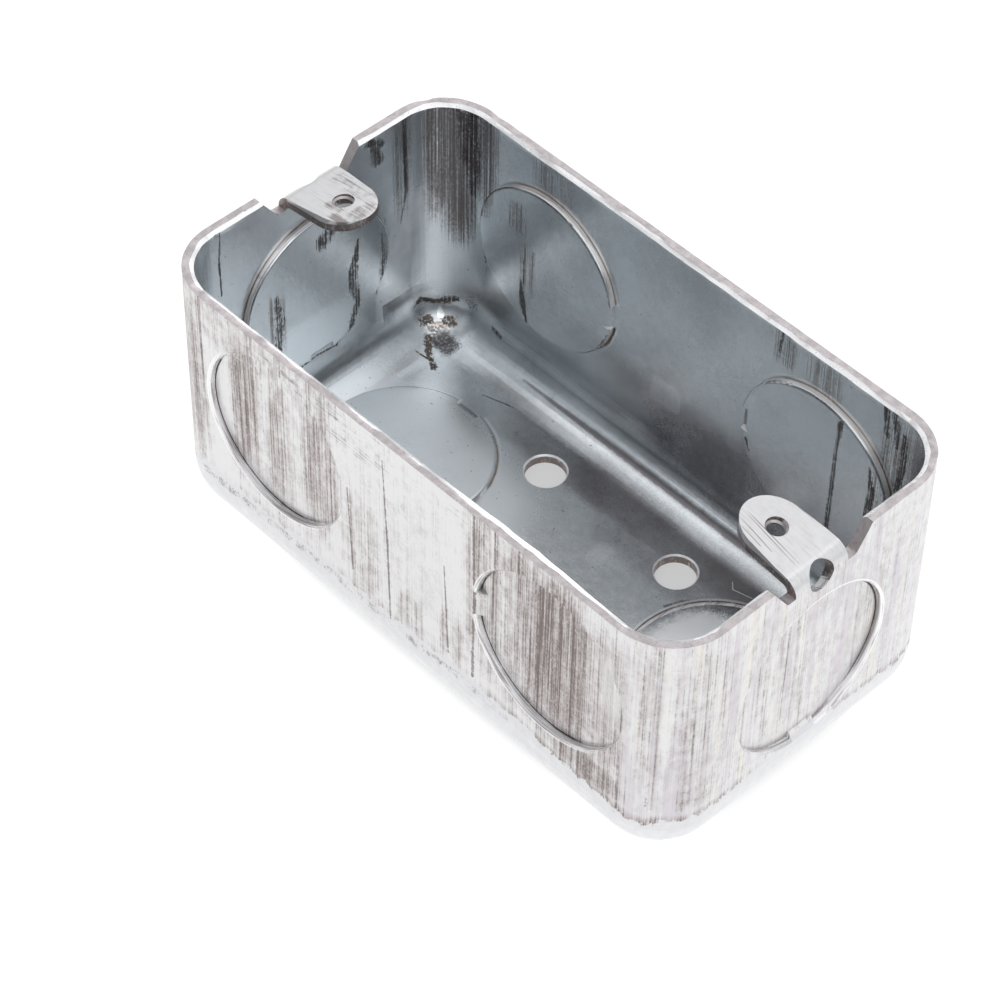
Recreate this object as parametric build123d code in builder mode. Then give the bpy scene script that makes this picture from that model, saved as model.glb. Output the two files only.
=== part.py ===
from build123d import *

import os
from math import cos, radians, sin, tan

# Open steel box for wiring, drawn from one sheet with its ears and knockouts.
# X runs along the long side, Y across it, Z up out of the mouth.
# The origin is the middle of the underside. Sizes are in millimetres and degrees.

# Shell
length = 100.0
width = 55.3
depth = 45.6
sheet = 1.6
bottom_r = 8.8
corner_turn = 0.7
rim_bevel = 0.7
rim_bevel_drop = 0.3

# Knockouts: slugs half sheared from the sheet, all but one of them pushed inwards
knockout_d = 27.5
knockout_web = 0.6
slug_edge_r = 0.4
mouth_edge = 0.25
tie_width = 4.4
tie_run = 1.6
near_left_inset = 24.4
near_right_inset = 21.9
near_knockout_rise = 1.2
far_knockout_inset = 23.4
far_knockout_rise = -1.9
end_knockout_clear = 0.95
floor_knockout_inset = 20.3
level_knockout_inset = 18.9
level_knockout_y = 3.6
level_slug_gap = 0.8

# Ears for the cover screws, bent in from the end walls
ear_reach = 8.33
ear_width = 9.8
ear_tilt = 8.0
ear_drop = 0.7
ear_hole_d = 3.2
bend_r = 1.0
bend_hole_d = 4.5
bend_hole_drop = 3.4
bend_hole_tilt = 30.0
notch_floor = 1.5
notch_mouth = 4.3
notch_r = 0.8

# Fixing holes in the floor
floor_hole_d = 6.3
floor_hole_spacing = 26.8
floor_hole_inset = 14.3
floor_hole_edge = 0.25

# Derived sizes
corner_r = bottom_r + corner_turn
knockout_r = knockout_d / 2
push = sheet - knockout_web
bend_out = bend_r + sheet
bend_x = length / 2 - bend_out
tilt = radians(ear_tilt)
hole_tilt = radians(bend_hole_tilt)
ear_hole_x = length / 2 - ear_reach
tongue_run = (bend_x + bend_out * sin(tilt) - ear_hole_x) / cos(tilt)
bend_z = depth - ear_drop - tongue_run * sin(tilt) - bend_out * cos(tilt)
arc_top = depth + bend_out
arc_top_x = bend_x + (arc_top - bend_z) * tan(tilt)
flat_wall_middle = (depth + bottom_r) / 2
end_knockout_z = bottom_r + end_knockout_clear + knockout_r
floor_knockout_x = length / 2 - floor_knockout_inset
level_knockout_x = length / 2 - level_knockout_inset

# Space inside the drawn shell, open at the top
with BuildPart() as inside:
    with BuildSketch(Plane.XY.offset(sheet)):
        RectangleRounded(length - 2 * sheet, width - 2 * sheet, corner_r - sheet)
    extrude(amount=depth)
    fillet(inside.faces().sort_by(Axis.Z)[0].edges(), bottom_r - sheet)

# Strip on a slug's +X side that stays in the wall as its tie, and bends down to the slug
with BuildPart() as tie:
    with BuildSketch(Plane.XZ):
        with BuildLine():
            Polyline(
                (knockout_r - tie_run, push),
                (knockout_r, 0),
                (knockout_r + tie_run, 0),
                (knockout_r + tie_run, push),
                close=True,
            )
        make_face()
    extrude(amount=tie_width / 2, both=True)

# Hollow that a pushed slug leaves in the outer face, with a rolled edge at its mouth
with BuildPart() as slug_hollow:
    with BuildSketch(Plane.XZ):
        with BuildLine():
            Polyline(
                (0, 0),
                (knockout_r + mouth_edge, 0),
                (knockout_r, mouth_edge),
                (knockout_r, push),
                (0, push),
                close=True,
            )
        make_face()
    revolve(axis=Axis.Z)
    add(tie.part, mode=Mode.SUBTRACT)

# Step that a pushed slug makes on the inner face, with a rounded edge and its root inside the web
with BuildPart() as slug_step:
    with Locations((0, 0, -knockout_web / 2)):
        Cylinder(knockout_r, push + knockout_web / 2, align=(Align.CENTER, Align.CENTER, Align.MIN))
    fillet(slug_step.edges().group_by(Axis.Z)[-1], slug_edge_r)
    add(tie.part, mode=Mode.SUBTRACT)

# Space above a skin as thin as the web, which the gap around the level slug doesn't cut
with BuildPart() as above_web:
    with BuildSketch(Plane.XY.offset(knockout_web)):
        RectangleRounded(length - 2 * knockout_web, width - 2 * knockout_web, corner_r - knockout_web)
    extrude(amount=depth)
    fillet(above_web.faces().sort_by(Axis.Z)[0].edges(), bottom_r - knockout_web)

# Gap around the slug that has been pressed back level: a ring broken by its tie, down to the web
with BuildPart() as level_gap:
    with BuildSketch():
        with Locations((level_knockout_x, level_knockout_y)):
            Circle(knockout_r + level_slug_gap / 2)
            Circle(knockout_r - level_slug_gap / 2, mode=Mode.SUBTRACT)
        with Locations((level_knockout_x, level_knockout_y + knockout_r)):
            Rectangle(tie_width, 2 * tie_run, mode=Mode.SUBTRACT)
    extrude(amount=bottom_r)
    add(above_web.part, mode=Mode.INTERSECT)

# Ear at the +X end: the bend out of the wall and the round-ended tongue with its screw hole
tongue_top = Plane(
    origin=(ear_hole_x, 0, depth - ear_drop),
    x_dir=(cos(tilt), 0, -sin(tilt)),
    z_dir=(sin(tilt), 0, cos(tilt)),
)
with BuildPart() as ear:
    with BuildSketch(Plane.XZ):
        with Locations((bend_x, bend_z)):
            Circle(bend_out)
            Circle(bend_r, mode=Mode.SUBTRACT)
        with BuildLine():
            Polyline(
                (bend_x, bend_z),
                (length / 2, bend_z),
                (length / 2, arc_top),
                (arc_top_x, arc_top),
                close=True,
            )
        make_face(mode=Mode.INTERSECT)
    extrude(amount=ear_width / 2, both=True)
    with BuildSketch(tongue_top):
        Circle(ear_width / 2)
        Rectangle(tongue_run, ear_width, align=(Align.MIN, Align.CENTER))
        Circle(ear_hole_d / 2, mode=Mode.SUBTRACT)
    extrude(amount=-sheet)

# Fixing hole through the floor, opening out at its upper edge and clear of the floor at both ends
with BuildPart() as fixing_hole:
    with BuildSketch(Plane.XZ):
        with BuildLine():
            Polyline(
                (0, -sheet),
                (floor_hole_d / 2, -sheet),
                (floor_hole_d / 2, sheet - floor_hole_edge),
                (floor_hole_d / 2 + 2 * floor_hole_edge, sheet + floor_hole_edge),
                (0, sheet + floor_hole_edge),
                close=True,
            )
        make_face()
    revolve(axis=Axis.Z)

# Places of the pushed slugs on the outer faces, each plane facing inwards with X towards its tie.
# The near wall faces -Y and the far wall +Y, and their slugs sit above or below the middle of the flat wall.
pushed_knockouts = [Plane(origin=(-floor_knockout_x, 0, 0), x_dir=(0, 1, 0), z_dir=(0, 0, 1))]
for end, near_inset in ((-1, near_left_inset), (1, near_right_inset)):
    pushed_knockouts.append(
        Plane(
            origin=(end * length / 2, 0, end_knockout_z),
            x_dir=(0, 0, -1),
            z_dir=(-end, 0, 0),
        )
    )
    for side, inset, rise in (
        (-1, near_inset, near_knockout_rise),
        (1, far_knockout_inset, far_knockout_rise),
    ):
        pushed_knockouts.append(
            Plane(
                origin=(end * (length / 2 - inset), side * width / 2, flat_wall_middle + rise),
                x_dir=(-end, 0, 0),
                z_dir=(0, -side, 0),
            )
        )

with BuildPart() as box_body:
    # Drawn shell with a bevel along the inside of the rim
    with BuildSketch():
        RectangleRounded(length, width, corner_r)
    extrude(amount=depth)
    fillet(box_body.faces().sort_by(Axis.Z)[0].edges(), bottom_r)
    add(inside.part, mode=Mode.SUBTRACT)
    rim = box_body.faces().sort_by(Axis.Z)[-1]
    chamfer(rim.inner_wires()[0].edges(), length=rim_bevel, length2=rim_bevel_drop, reference=rim)

    # Gaps in both end walls, as wide as the ear and the notch on each side of it
    with BuildSketch(Plane.YZ):
        with BuildLine():
            Polyline(
                (-ear_width / 2 - notch_mouth, depth),
                (-ear_width / 2 - notch_floor, bend_z),
                (ear_width / 2 + notch_floor, bend_z),
                (ear_width / 2 + notch_mouth, depth),
                close=True,
            )
        gap = make_face()
        fillet(gap.vertices().group_by(Axis.Y)[0], notch_r)
    extrude(amount=length, both=True, mode=Mode.SUBTRACT)

    # Ears, each with a hole that slopes in through its bend and comes out under the tongue
    add(ear.part)
    mirror(ear.part, about=Plane.YZ)
    for end in (-1, 1):
        bend_hole = Plane(
            origin=(end * length / 2, 0, depth - bend_hole_drop),
            z_dir=(-end * cos(hole_tilt), 0, -sin(hole_tilt)),
        )
        with BuildSketch(bend_hole):
            Circle(bend_hole_d / 2)
        extrude(amount=bend_out + bend_r, mode=Mode.SUBTRACT)

    # Pushed knockouts
    for place in pushed_knockouts:
        with Locations(place):
            add(slug_hollow.part, mode=Mode.SUBTRACT)
        with Locations(place.offset(sheet)):
            add(slug_step.part)

    # Knockout pressed back level with the floor
    add(level_gap.part, mode=Mode.SUBTRACT)

    # Fixing holes
    with Locations((0, width / 2 - floor_hole_inset, 0)):
        with GridLocations(floor_hole_spacing, 0, 2, 1):
            add(fixing_hole.part, mode=Mode.SUBTRACT)

box_body.part.label = "box_body"

os.makedirs("parts", exist_ok=True)
export_step(box_body.part, "parts/box_body.step")
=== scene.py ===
"""Looks of a drawn steel wiring box: its finished shell, the threads in its ears, its stage and its camera.

Properties hold metres. Patterns and marks on the sheet are placed in millimetres of the part's frame:
X along the long side, Y towards the far wall, Z up out of the mouth.
"""

import math

import bpy
from mathutils import Matrix, Vector, noise as field


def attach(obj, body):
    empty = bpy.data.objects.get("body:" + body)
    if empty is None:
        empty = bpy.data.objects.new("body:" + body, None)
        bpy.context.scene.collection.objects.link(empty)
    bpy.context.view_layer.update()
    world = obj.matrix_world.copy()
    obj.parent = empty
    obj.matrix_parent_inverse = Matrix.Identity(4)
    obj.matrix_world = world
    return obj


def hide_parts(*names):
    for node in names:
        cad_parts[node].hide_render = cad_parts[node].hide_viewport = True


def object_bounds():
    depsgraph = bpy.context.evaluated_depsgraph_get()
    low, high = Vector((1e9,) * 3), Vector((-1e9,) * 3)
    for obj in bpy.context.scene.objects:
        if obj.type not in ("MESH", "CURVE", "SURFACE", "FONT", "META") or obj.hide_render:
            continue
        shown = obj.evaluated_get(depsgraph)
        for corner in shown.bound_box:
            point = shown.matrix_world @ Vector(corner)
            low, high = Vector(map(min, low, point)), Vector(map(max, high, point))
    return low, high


bl_info = {
    "name": "Drawn Steel Wiring Box",
    "version": (1, 0, 0),
    "blender": (4, 5, 0),
    "location": "View3D > Sidebar > Wiring Box",
    "description": "Finishes a zinc-coated steel wiring box around its packed frame and sets its stage",
    "category": "Add Mesh",
}

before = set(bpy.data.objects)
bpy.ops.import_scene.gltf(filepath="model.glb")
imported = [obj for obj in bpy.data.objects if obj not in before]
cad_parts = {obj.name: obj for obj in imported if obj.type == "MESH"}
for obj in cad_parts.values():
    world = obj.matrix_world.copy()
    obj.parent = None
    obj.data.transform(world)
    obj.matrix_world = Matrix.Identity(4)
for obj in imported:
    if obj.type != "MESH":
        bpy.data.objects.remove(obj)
CAD_LOW, CAD_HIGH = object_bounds()

MM = 0.001
HALF_X = CAD_HIGH.x / MM
HALF_Y = CAD_HIGH.y / MM
RIM_Z = CAD_HIGH.z / MM
SHEET = 1.6
BOTTOM_R = 8.8
CORNER_R = 9.5

# Order of the shell's material slots
OUTSIDE, PLAIN_IN, LEFT_SIDE, FAR_SIDE, FLOOR_SIDE, CORNER, SHEARED, LIP, EAR, RING, CUT = range(11)


class WiringBoxSizes(bpy.types.PropertyGroup):
    """Sizes of the finish that the frame doesn't hold"""

    thread_pitch: bpy.props.FloatProperty(
        name="Thread pitch",
        description="Rise of the ear threads in one turn",
        default=0.794 * MM,
        unit="LENGTH",
        precision=6,
    )
    thread_depth: bpy.props.FloatProperty(
        name="Thread depth",
        description="Height of the thread's crest above the bore",
        default=0.3 * MM,
        unit="LENGTH",
        precision=6,
    )
    lip_wander: bpy.props.FloatProperty(
        name="Lip wander",
        description="How far the burnished lip strays along the inside of the rim",
        default=0.25 * MM,
        unit="LENGTH",
        precision=6,
    )
    lip_bulge: bpy.props.FloatProperty(
        name="Lip bulge",
        description="How far the lip of the near wall leans in at its widest",
        default=0.5 * MM,
        unit="LENGTH",
        precision=6,
    )
    slug_crown: bpy.props.FloatProperty(
        name="Slug crown",
        description="How far the level slug bulges up",
        default=1.1 * MM,
        unit="LENGTH",
        precision=6,
    )


class WiringBoxColours(bpy.types.PropertyGroup):
    """Colours of the sheet's surfaces and of the stage"""

    zinc: bpy.props.FloatVectorProperty(
        name="Zinc inside",
        description="Blue-grey zinc on the inner faces",
        subtype="COLOR",
        default=(0.66, 0.69, 0.71),
        min=0.0,
        max=1.0,
    )
    drawn: bpy.props.FloatVectorProperty(
        name="Drawn outside",
        description="Pale ironed zinc on the outer faces",
        subtype="COLOR",
        default=(0.74, 0.735, 0.74),
        min=0.0,
        max=1.0,
    )
    streak: bpy.props.FloatVectorProperty(
        name="Drawing streaks",
        description="Bare brown-grey steel where the drawing die has rubbed the zinc",
        subtype="COLOR",
        default=(0.19, 0.155, 0.145),
        min=0.0,
        max=1.0,
    )
    wash: bpy.props.FloatVectorProperty(
        name="Drawing wash",
        description="Pale brown-grey haze between the drawing streaks",
        subtype="COLOR",
        default=(0.45, 0.405, 0.395),
        min=0.0,
        max=1.0,
    )
    # Painted shade: besides a dull film, this colour paints dark reflections and shade on the inner faces
    haze: bpy.props.FloatVectorProperty(
        name="Dull haze",
        description="Purple-brown film that dulls parts of the inner faces",
        subtype="COLOR",
        default=(0.16, 0.135, 0.145),
        min=0.0,
        max=1.0,
    )
    smudge: bpy.props.FloatVectorProperty(
        name="Smudges",
        description="Burnt drawing grease on the inner faces",
        subtype="COLOR",
        default=(0.045, 0.035, 0.032),
        min=0.0,
        max=1.0,
    )
    grease: bpy.props.FloatVectorProperty(
        name="Caked grease",
        description="Brown grease caked in the corner",
        subtype="COLOR",
        default=(0.26, 0.16, 0.09),
        min=0.0,
        max=1.0,
    )
    sheared: bpy.props.FloatVectorProperty(
        name="Sheared edge",
        description="Cut steel along the rim and the holes",
        subtype="COLOR",
        default=(0.56, 0.515, 0.52),
        min=0.0,
        max=1.0,
    )
    floor: bpy.props.FloatVectorProperty(
        name="Floor",
        description="Pale studio floor",
        subtype="COLOR",
        default=(0.92, 0.92, 0.92),
        min=0.0,
        max=1.0,
    )


def only(obj):
    """Deselects everything, then selects obj and makes it active."""
    bpy.ops.object.select_all(action="DESELECT")
    obj.select_set(True)
    bpy.context.view_layer.objects.active = obj


# Node helpers


def put(tree, kind, inputs=None, **settings):
    """Adds a node with its settings, and fills its inputs with values or with links from other sockets."""
    node = tree.nodes.new(kind)
    for name, value in settings.items():
        setattr(node, name, value)
    for name, value in (inputs or {}).items():
        if isinstance(value, bpy.types.NodeSocket):
            tree.links.new(value, node.inputs[name])
        else:
            node.inputs[name].default_value = value
    return node


def math_of(tree, operation, first, *others, clamp=False):
    """Result of joining the first value with each of the others in turn by a math operation."""
    for other in others or (0.0,):
        inputs = {0: first, 1: other}
        first = put(tree, "ShaderNodeMath", inputs, operation=operation, use_clamp=clamp).outputs[0]
    return first


def vector_of(tree, operation, first, second=(0.0, 0.0, 0.0), result="Vector"):
    """Result of a vector operation on one or two vectors."""
    return put(tree, "ShaderNodeVectorMath", {0: first, 1: second}, operation=operation).outputs[result]


def scaled(tree, vector, scale):
    """Vector or colour times a number."""
    inputs = {0: vector, "Scale": scale}
    return put(tree, "ShaderNodeVectorMath", inputs, operation="SCALE").outputs["Vector"]


def ramp(tree, value, low, high, to_low=0.0, to_high=1.0):
    """Value turned smoothly from low..high into to_low..to_high."""
    inputs = {0: value, 1: low, 2: high, 3: to_low, 4: to_high}
    return put(tree, "ShaderNodeMapRange", inputs, interpolation_type="SMOOTHSTEP").outputs[0]


def mixed(tree, factor, first, second):
    """Colour between first and second."""
    node = put(tree, "ShaderNodeMix", {0: factor}, data_type="RGBA")
    for index, colour in ((6, first), (7, second)):
        if isinstance(colour, bpy.types.NodeSocket):
            tree.links.new(colour, node.inputs[index])
        else:
            node.inputs[index].default_value = (*colour, 1.0)
    return node.outputs[2]


def noise(tree, point, stretch, detail=3.0, roughness=0.55, shift=(0.0, 0.0, 0.0)):
    """Noise whose grain has the given frequencies in X, Y and Z, in grains a millimetre."""
    place = put(tree, "ShaderNodeMapping", {"Vector": point, "Location": shift, "Scale": stretch})
    inputs = {"Vector": place.outputs[0], "Scale": 1.0, "Detail": detail, "Roughness": roughness}
    return put(tree, "ShaderNodeTexNoise", inputs).outputs["Fac"]


def millimetres(tree):
    """The point on the piece, in millimetres."""
    return scaled(tree, put(tree, "ShaderNodeTexCoord").outputs["Object"], 1.0 / MM)


def blended(tree, start, *parts):
    """Sum of a start value and of pattern, weight pairs."""
    total = start
    for pattern, weight in parts:
        total = math_of(tree, "ADD", total, math_of(tree, "MULTIPLY", pattern, weight))
    return total


def tinted(colour, *factors):
    """Colour times one factor, or times one for each channel, and no brighter than white."""
    if len(factors) == 1:
        factors *= 3
    return [min(1.0, part * factor) for part, factor in zip(colour, factors)]


# Node groups


def new_group(name, vectors, floats, results):
    """New node group with the given sockets: the group, the values it gets and the sockets of its results."""
    group = bpy.data.node_groups.new(name, "ShaderNodeTree")
    for in_out, kind, names in (
        ("INPUT", "NodeSocketVector", vectors),
        ("INPUT", "NodeSocketFloat", floats),
        ("OUTPUT", "NodeSocketFloat", results),
    ):
        for socket in names:
            group.interface.new_socket(socket, in_out=in_out, socket_type=kind)
    given = group.nodes.new("NodeGroupInput").outputs
    return group, given, group.nodes.new("NodeGroupOutput").inputs


def use_group(tree, build, inputs):
    """Results of the node group that is named after the function that builds it, built on its first use."""
    group = bpy.data.node_groups.get(build.__name__) or build()
    return put(tree, "ShaderNodeGroup", inputs, node_tree=group).outputs


# Patterns of rubbed sheet: frequencies of the noise in X, Y and Z, its detail, roughness and shift
SHEET_PATTERNS = {
    "Hair": ((4.4, 4.4, 0.05), 3.0, 0.55, (0.0, 0.0, 0.0)),
    "Streak": ((1.0, 1.0, 0.022), 3.0, 0.6, (7.0, 3.0, 1.0)),
    "Grain": ((3.0, 3.0, 1.7), 2.0, 0.6, (5.0, 2.0, 8.0)),
    "Grit": ((7.0, 7.0, 7.0), 1.0, 0.5, (9.0, 4.0, 1.0)),
    "Mottle": ((0.7, 0.7, 0.5), 4.0, 0.68, (2.0, 9.0, 4.0)),
    "Cloud": ((0.055, 0.055, 0.04), 2.0, 0.6, (4.0, 1.0, 8.0)),
}


def rubbed_sheet():
    """Node group with the patterns of rubbed sheet, each spread evenly around zero."""
    group, given, results = new_group("rubbed_sheet", ("Point",), (), SHEET_PATTERNS)
    for name, settings in SHEET_PATTERNS.items():
        pattern = noise(group, given["Point"], *settings)
        group.links.new(math_of(group, "SUBTRACT", pattern, 0.5), results[name])
    return group


def rubbed(tree, point, *names):
    """The named patterns of rubbed sheet at a point."""
    found = use_group(tree, rubbed_sheet, {"Point": point})
    return [found[name] for name in names]


# Shares of a patch's half size, and of a stroke's half width, at which each ends and at which it is full
PATCH_FADE = (1.3, 0.15)
STROKE_FADE = (1.6, 0.3)


def patch_depth():
    """Node group that tells how deep a point lies in a patch: 1 in its middle, 0 from its edge outwards."""
    vectors = ("Point", "Middle", "Half size")
    group, given, results = new_group("patch_depth", vectors, ("Strength",), ("Depth",))
    away = vector_of(group, "SUBTRACT", given["Point"], given["Middle"])
    share = vector_of(group, "DIVIDE", away, given["Half size"])
    square = vector_of(group, "MULTIPLY", share, share)
    reach = vector_of(group, "LENGTH", square, result="Value")
    depth = math_of(group, "MULTIPLY", ramp(group, reach, *PATCH_FADE), given["Strength"])
    group.links.new(depth, results["Depth"])
    return group


# Step around a knockout, painted with a shade line and a highlight: how far outside the circle its rolled
# edge, with the painted highlight, runs and the half width of that, the turn towards the shown side over
# which both appear, how far off the wall they end, and the shares of their width over which they fade
ROLL_OUT = 0.5
ROLL_WIDTH = 0.26
RING_TURN = (-0.2, 0.6)
RING_SKIN = (4.0, 3.2)
RING_FADE = (1.0, 0.3)


def ring_shade_and_highlight():
    """Node group for the step around a knockout: a painted shade line on its circle and a painted highlight
    on the rolled edge just outside it.
    """
    vectors = ("Point", "Middle", "Plane", "Side")
    group, given, results = new_group("ring_shade_and_highlight", vectors, ("Radius", "Width"), ("Line", "Rolled"))
    away = vector_of(group, "SUBTRACT", given["Point"], given["Middle"])
    flat = vector_of(group, "MULTIPLY", away, given["Plane"])
    rise = vector_of(group, "DISTANCE", away, flat, "Value")
    off = vector_of(group, "LENGTH", flat, result="Value")
    lean = vector_of(group, "DOT_PRODUCT", flat, given["Side"], "Value")
    turn = math_of(group, "DIVIDE", lean, given["Radius"])
    shown = math_of(group, "MULTIPLY", ramp(group, turn, *RING_TURN), ramp(group, rise, *RING_SKIN))
    miss = math_of(group, "SUBTRACT", off, given["Radius"])
    roll = math_of(group, "SUBTRACT", miss, ROLL_OUT)
    for name, gap, width in (("Line", miss, given["Width"]), ("Rolled", roll, ROLL_WIDTH)):
        share = math_of(group, "DIVIDE", math_of(group, "ABSOLUTE", gap), width)
        group.links.new(math_of(group, "MULTIPLY", ramp(group, share, *RING_FADE), shown), results[name])
    return group


def stroke_depth():
    """Node group that tells how deep a point lies in a stroke: 1 along its middle line, 0 outside it."""
    vectors = ("Point", "Start", "End", "Plane")
    group, given, results = new_group("stroke_depth", vectors, ("Start width", "End width"), ("Depth",))
    away = vector_of(group, "SUBTRACT", given["Point"], given["Start"])
    flat = vector_of(group, "MULTIPLY", away, given["Plane"])
    run = vector_of(group, "SUBTRACT", given["End"], given["Start"])
    along = vector_of(group, "DOT_PRODUCT", flat, run, "Value")
    whole = vector_of(group, "DOT_PRODUCT", run, run, "Value")
    share = math_of(group, "DIVIDE", along, whole, clamp=True)
    off = vector_of(group, "DISTANCE", flat, scaled(group, run, share), "Value")
    grown = math_of(group, "SUBTRACT", given["End width"], given["Start width"])
    width = math_of(group, "ADD", given["Start width"], math_of(group, "MULTIPLY", share, grown))
    group.links.new(ramp(group, math_of(group, "DIVIDE", off, width), *STROKE_FADE), results["Depth"])
    return group


# Walls on which marks are placed: the plane's axis and height, and the axes of the two given numbers
NEAR = (1, -HALF_Y, 0, 2)
RIGHT = (0, HALF_X, 1, 2)
LEFT_IN = (0, SHEET - HALF_X, 1, 2)
FAR_IN = (1, HALF_Y - SHEET, 0, 2)
FLOOR_IN = (2, SHEET, 0, 1)
LEFT_CORNER = (1, HALF_Y - 3.9, 0, 2)

# How far off its wall a mark reaches, how little a stroke's depth off its wall counts, and a stroke's spread
MARK_SKIN = 3.4
STROKE_SKIN = 0.15
STROKE_SPREAD = 1.2


def spots_mask(tree, point, spots):
    """Strongest of the given spots at a point. A spot is its middle, its half size and its strength."""
    depths = []
    for middle, half, strength in spots:
        inputs = {"Point": point, "Middle": middle, "Half size": half, "Strength": strength}
        depths.append(use_group(tree, patch_depth, inputs)["Depth"])
    return math_of(tree, "MAXIMUM", *depths)


def marks_mask(tree, point, marks):
    """Strongest of the given marks at a point. A mark is its wall, its two spans there and its strength."""
    spots = []
    for (axis, height, first, second), span_a, span_b, strength in marks:
        middle = [0.0, 0.0, 0.0]
        half = [MARK_SKIN, MARK_SKIN, MARK_SKIN]
        middle[axis] = height
        for index, span in ((first, span_a), (second, span_b)):
            middle[index] = (span[0] + span[1]) / 2
            half[index] = abs(span[1] - span[0]) / 2
        spots.append((middle, half, strength))
    return spots_mask(tree, point, spots)


def trails_mask(tree, point, trails):
    """Strongest of the given trails at a point. A trail is its axis weights, then places with half widths."""
    depths = []
    for weights, *stops in trails:
        for (start, start_width), (end, end_width) in zip(stops, stops[1:]):
            inputs = {
                "Point": point,
                "Plane": weights,
                "Start": start,
                "End": end,
                "Start width": start_width * STROKE_SPREAD,
                "End width": end_width * STROKE_SPREAD,
            }
            depths.append(use_group(tree, stroke_depth, inputs)["Depth"])
    return math_of(tree, "MAXIMUM", *depths)


def strokes_mask(tree, point, strokes):
    """Strongest of the given strokes at a point. A stroke is its wall, then places on it with half widths."""
    trails = []
    for (axis, height, first, second), *stops in strokes:
        weights = [1.0, 1.0, 1.0]
        weights[axis] = STROKE_SKIN
        trail = [weights]
        for along, across, width in stops:
            place = [height, height, height]
            place[first] = along
            place[second] = across
            trail.append((place, width))
        trails.append(trail)
    return trails_mask(tree, point, trails)


def new_material(name, metallic=1.0):
    """Empty metal material: the material, its tree, its shader and the point on the piece."""
    material = bpy.data.materials.new(name)
    material.use_nodes = True
    tree = material.node_tree
    tree.nodes.clear()
    shader = put(tree, "ShaderNodeBsdfPrincipled", {"Metallic": metallic})
    result = tree.nodes.new("ShaderNodeOutputMaterial")
    tree.links.new(shader.outputs[0], result.inputs["Surface"])
    return material, tree, shader, millimetres(tree)


def finished(tree, shader, colour, roughness, height, relief, strength):
    """Gives the shader its colour, its roughness and a bump of the given relief in millimetres."""
    inputs = {"Height": height, "Distance": relief * MM, "Strength": strength}
    normal = put(tree, "ShaderNodeBump", inputs).outputs[0]
    for socket, value in (("Base Color", colour), ("Roughness", roughness), ("Normal", normal)):
        tree.links.new(value, shader.inputs[socket])


# Knockout slugs: middle on the outer face, the axes of that face, the sides where the step is painted with a
# shade line and a highlight, outside and inside, and the way to the tie, where the step stops
KNOCKOUT_R = 13.75
TIE_HALF = 2.6
LONG_WALL = (1.0, 0.0, 1.0)
END_WALL = (0.0, 1.0, 1.0)
BOTTOM = (1.0, 1.0, 0.0)
SLUGS = (
    ((-25.6, -HALF_Y, 28.4), LONG_WALL, (-0.75, 0.0, -0.66), (0.6, 0.0, 0.8), (1, 0, 0)),
    ((28.1, -HALF_Y, 28.4), LONG_WALL, (-0.75, 0.0, -0.66), (0.6, 0.0, 0.8), (-1, 0, 0)),
    ((-26.6, HALF_Y, 25.3), LONG_WALL, (0.75, 0.0, -0.66), (0.7, 0.0, 0.7), (1, 0, 0)),
    ((26.6, HALF_Y, 25.3), LONG_WALL, (0.75, 0.0, -0.66), (0.7, 0.0, 0.7), (-1, 0, 0)),
    ((-HALF_X, 0.0, 23.5), END_WALL, (0.0, 0.75, -0.66), (0.0, -0.8, 0.6), (0, 0, -1)),
    ((HALF_X, 0.0, 23.5), END_WALL, (0.0, 0.9, 0.4), (0.0, -0.8, 0.6), (0, 0, -1)),
    ((-29.7, 0.0, 0.0), BOTTOM, (0.0, -1.0, 0.0), (0.0, 1.0, 0.0), (0, 1, 0)),
    ((31.1, 3.6, 0.0), BOTTOM, (0.0, -1.0, 0.0), (-0.7, 0.7, 0.0), (0, 1, 0)),
)

# Painted shade lines on the knockouts' circles: how far outside them, and their half width, on outer and
# inner faces
OUTER_RING_SHADE = (-0.2, 0.26)
INNER_RING_SHADE = (0.12, 0.24)

# Steel rubbed white, also the painted highlight on the rolled edges, and zinc scraped matt
BURNISH_AND_HIGHLIGHT = (0.95, 0.95, 0.95)
FROST = (0.97, 0.972, 0.98)


def ring_lines(tree, point, slugs, inside):
    """Painted shade lines and painted highlights around the given slugs on outer or inner faces: the line on
    the circle and the rolled edge.
    """
    offset, width = INNER_RING_SHADE if inside else OUTER_RING_SHADE
    lines, roll_highlights, ties = [], [], []
    for middle, plane, outer_side, inner_side, tie in slugs:
        inputs = {
            "Point": point,
            "Middle": middle,
            "Plane": plane,
            "Side": inner_side if inside else outer_side,
            "Radius": KNOCKOUT_R + offset,
            "Width": width,
        }
        found = use_group(tree, ring_shade_and_highlight, inputs)
        lines.append(found["Line"])
        roll_highlights.append(found["Rolled"])
        place = [part + KNOCKOUT_R * way for part, way in zip(middle, tie)]
        ties.append((place, (TIE_HALF, TIE_HALF, TIE_HALF), 1.0))
    apart = ramp(tree, spots_mask(tree, point, ties), 0.0, 0.5, 1.0, 0.0)
    return [math_of(tree, "MULTIPLY", math_of(tree, "MAXIMUM", *found), apart) for found in (lines, roll_highlights)]


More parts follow.
